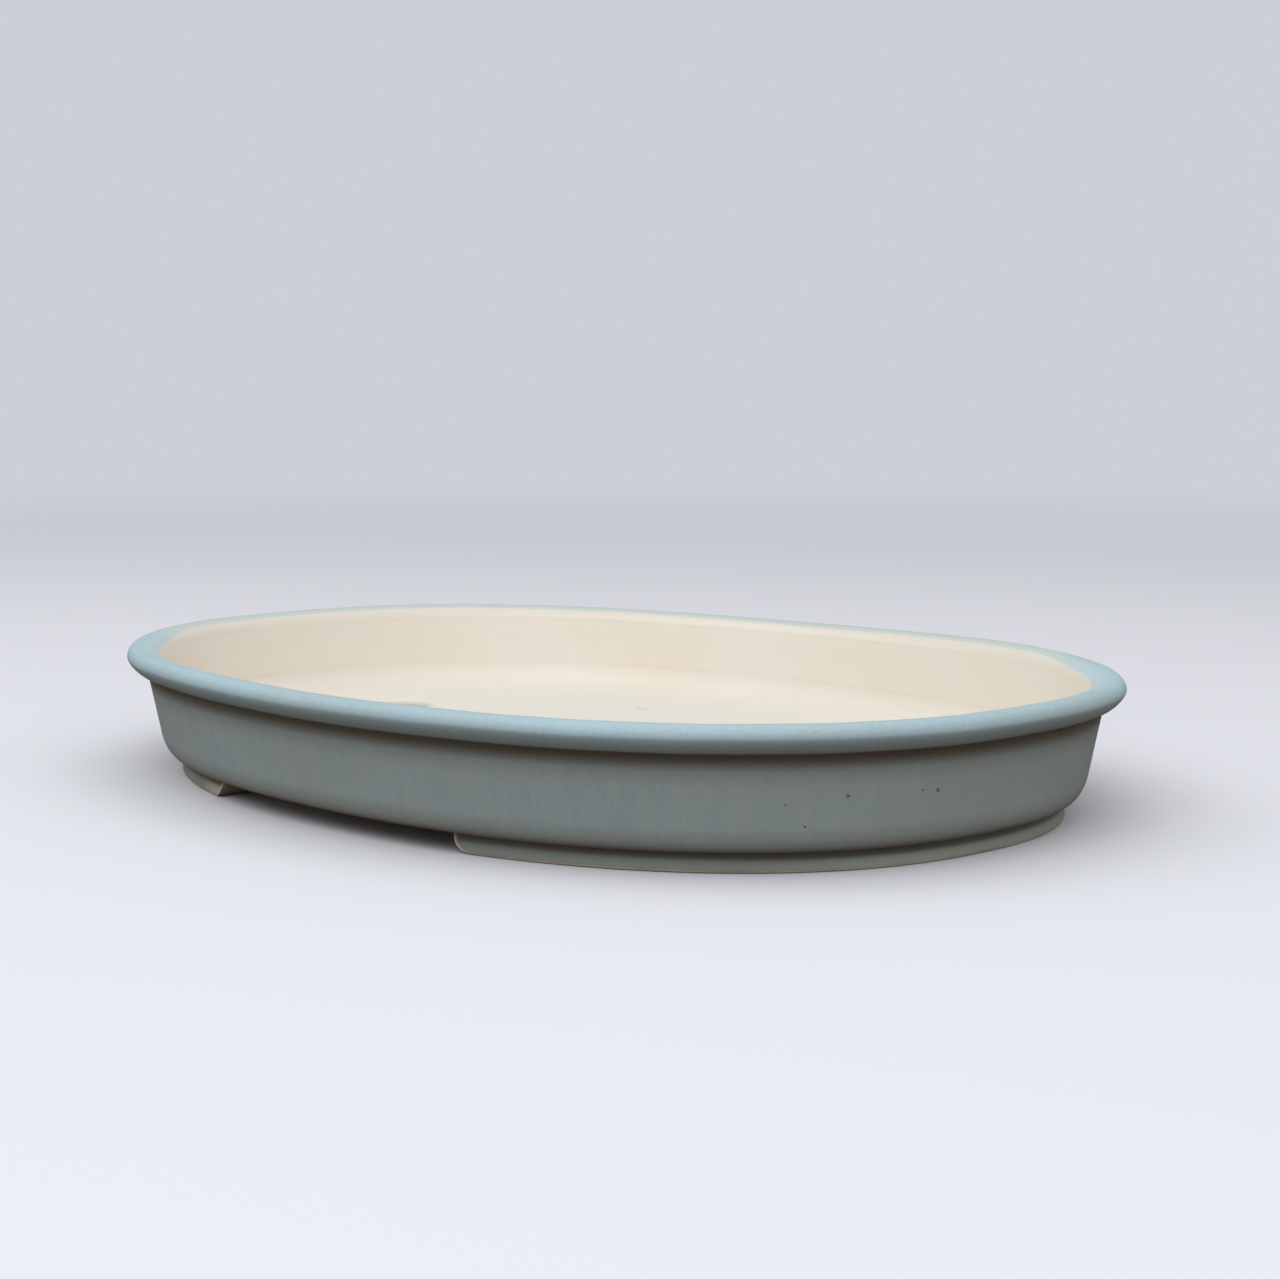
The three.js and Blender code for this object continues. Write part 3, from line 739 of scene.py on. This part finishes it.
# ---------------------------------------------------------------------------
# Camera
# ---------------------------------------------------------------------------
cam_data = bpy.data.cameras.new("camera")
cam_data.sensor_width = 36.0
cam_data.sensor_fit = "HORIZONTAL"
cam_data.lens = 68.341
cam_data.clip_start, cam_data.clip_end = 0.01, 60.0
cam = bpy.data.objects.new("camera", cam_data)
bpy.context.scene.collection.objects.link(cam)
right = Vector((0.678874, 0.734253, 0.001641))
up = Vector((-0.083902, 0.075353, 0.993621))
forward = Vector((-0.729446, 0.674681, -0.112761))
rot = Matrix((right, up, -forward)).transposed()
cam.matrix_world = Matrix.Translation(Vector((0.675438, -0.604436, 0.156601))) @ rot.to_4x4()
bpy.context.scene.camera = cam

# ---------------------------------------------------------------------------
# Pieces
# ---------------------------------------------------------------------------
lip = oval_ring("rim_lip_glazed", LIP)
wall = oval_ring("wall_band_glazed", WALL, wall_face + corner)
slab = floor_slab()
foot_l = foot("left_foot_glazed", -1)
foot_r = foot("right_foot_glazed", 1)

body_mat = pot_body_material("blue_glaze_and_clay")
lip.data.materials.append(body_mat)
wall.data.materials.append(body_mat)
slab.data.materials.append(floor_material())
foot_mat = foot_material()
foot_l.data.materials.append(foot_mat)
foot_r.data.materials.append(foot_mat)

for piece, node, slot in ((lip, "rim_lip", "rim_glaze"), (wall, "wall_band", "wall_glaze"), (slab, "floor_slab", "bare_clay"),
                          (foot_l, "left_foot", "foot_glaze"), (foot_r, "right_foot", "foot_glaze")):
    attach(piece, "root")
    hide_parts(node)

# ---------------------------------------------------------------------------
# Stage: a pale floor that fades into the backdrop colour, and soft light from above
# ---------------------------------------------------------------------------
BACK = (0.600, 0.626, 0.688)


def make_floor():
    bm = bmesh.new()
    rings, seg = [0.0, 0.3, 0.6, 1.0, 1.6, 2.6, 4.0], 96
    last = None
    for r in rings:
        if r == 0.0:
            last = [bm.verts.new((0, 0, 0))] * seg
            continue
        cur = [bm.verts.new((r * math.cos(2 * math.pi * i / seg), r * math.sin(2 * math.pi * i / seg), 0)) for i in range(seg)]
        for i in range(seg):
            j = (i + 1) % seg
            if last[0] is last[1]:
                bm.faces.new((last[0], cur[i], cur[j]))
            else:
                bm.faces.new((last[i], cur[i], cur[j], last[j]))
        last = cur
    me = bpy.data.meshes.new("stage_floor")
    bm.to_mesh(me)
    bm.free()
    ob = bpy.data.objects.new("stage_floor", me)
    ob.location = (0, 0, -0.00005)
    bpy.context.scene.collection.objects.link(ob)
    mat = bpy.data.materials.new("stage_floor")
    mat.use_nodes = True
    t = mat.node_tree
    t.nodes.clear()
    out = t.nodes.new("ShaderNodeOutputMaterial")
    pale = t.nodes.new("ShaderNodeBsdfDiffuse")
    pale.inputs[0].default_value = (0.800, 0.792, 0.845, 1)
    dim = t.nodes.new("ShaderNodeBsdfDiffuse")
    dim.inputs[0].default_value = (0.170, 0.125, 0.095, 1)
    lp = t.nodes.new("ShaderNodeLightPath")
    seen = t.nodes.new("ShaderNodeMixShader")
    t.links.new(lp.outputs["Is Camera Ray"], seen.inputs[0])
    t.links.new(dim.outputs[0], seen.inputs[1])
    t.links.new(pale.outputs[0], seen.inputs[2])
    geo = t.nodes.new("ShaderNodeTexCoord")
    ln = t.nodes.new("ShaderNodeVectorMath")
    ln.operation = "LENGTH"
    t.links.new(geo.outputs["Object"], ln.inputs[0])
    mr = t.nodes.new("ShaderNodeMapRange")
    mr.interpolation_type = "SMOOTHSTEP"
    t.links.new(ln.outputs["Value"], mr.inputs["Value"])
    mr.inputs["From Min"].default_value = 0.55
    mr.inputs["From Max"].default_value = 2.4
    clear = t.nodes.new("ShaderNodeBsdfTransparent")
    fade = t.nodes.new("ShaderNodeMixShader")
    t.links.new(mr.outputs[0], fade.inputs[0])
    t.links.new(seen.outputs[0], fade.inputs[1])
    t.links.new(clear.outputs[0], fade.inputs[2])
    t.links.new(fade.outputs[0], out.inputs[0])
    me.materials.append(mat)
    return ob


make_floor()

world = bpy.data.worlds.new("soft_studio")
bpy.context.scene.world = world
world.use_nodes = True
wt = world.node_tree
wt.nodes.clear()
wo = wt.nodes.new("ShaderNodeOutputWorld")
seen_bg = wt.nodes.new("ShaderNodeBackground")
seen_bg.inputs[0].default_value = (*BACK, 1)
seen_bg.inputs[1].default_value = 1.0
lit_bg = wt.nodes.new("ShaderNodeBackground")
lit_bg.inputs[0].default_value = (0.94, 0.98, 1.0, 1)
lit_bg.inputs[1].default_value = 0.44
lp = wt.nodes.new("ShaderNodeLightPath")
mx = wt.nodes.new("ShaderNodeMixShader")
wt.links.new(lp.outputs["Is Camera Ray"], mx.inputs[0])
wt.links.new(lit_bg.outputs[0], mx.inputs[1])
wt.links.new(seen_bg.outputs[0], mx.inputs[2])
wt.links.new(mx.outputs[0], wo.inputs[0])


def softbox(name, loc, target, size, power, colour):
    d = bpy.data.lights.new(name, "AREA")
    d.shape = "DISK"
    d.size = size
    d.energy = power
    d.color = colour
    o = bpy.data.objects.new(name, d)
    o.location = loc
    o.rotation_mode = "QUATERNION"
    o.rotation_quaternion = (Vector(target) - Vector(loc)).to_track_quat("-Z", "Y")
    bpy.context.scene.collection.objects.link(o)
    return o


for name, azimuth, watts, tint in (("softbox_left", -130.0, 11.5, (1.0, 0.985, 0.97)), ("softbox_front", -62.0, 19.0, (0.93, 0.985, 1.0)),
                                   ("softbox_right", 4.0, 9.5, (1.0, 0.975, 0.945))):
    el, far = math.radians(45.0), 2.4
    az = math.radians(azimuth)
    place = (far * math.cos(el) * math.cos(az), far * math.cos(el) * math.sin(az), far * math.sin(el))
    softbox(name, place, (0, 0, 0.02), 2.0, watts, tint)
softbox("softbox_top", (0.10, 0.15, 1.9), (0, 0, 0), 2.0, 7.0, (1.0, 0.99, 0.975))

bpy.context.scene.view_settings.view_transform = "Standard"
bpy.context.scene.view_settings.look = "None"
bpy.context.scene.view_settings.exposure = 0.0
bpy.context.scene.view_settings.gamma = 1.0
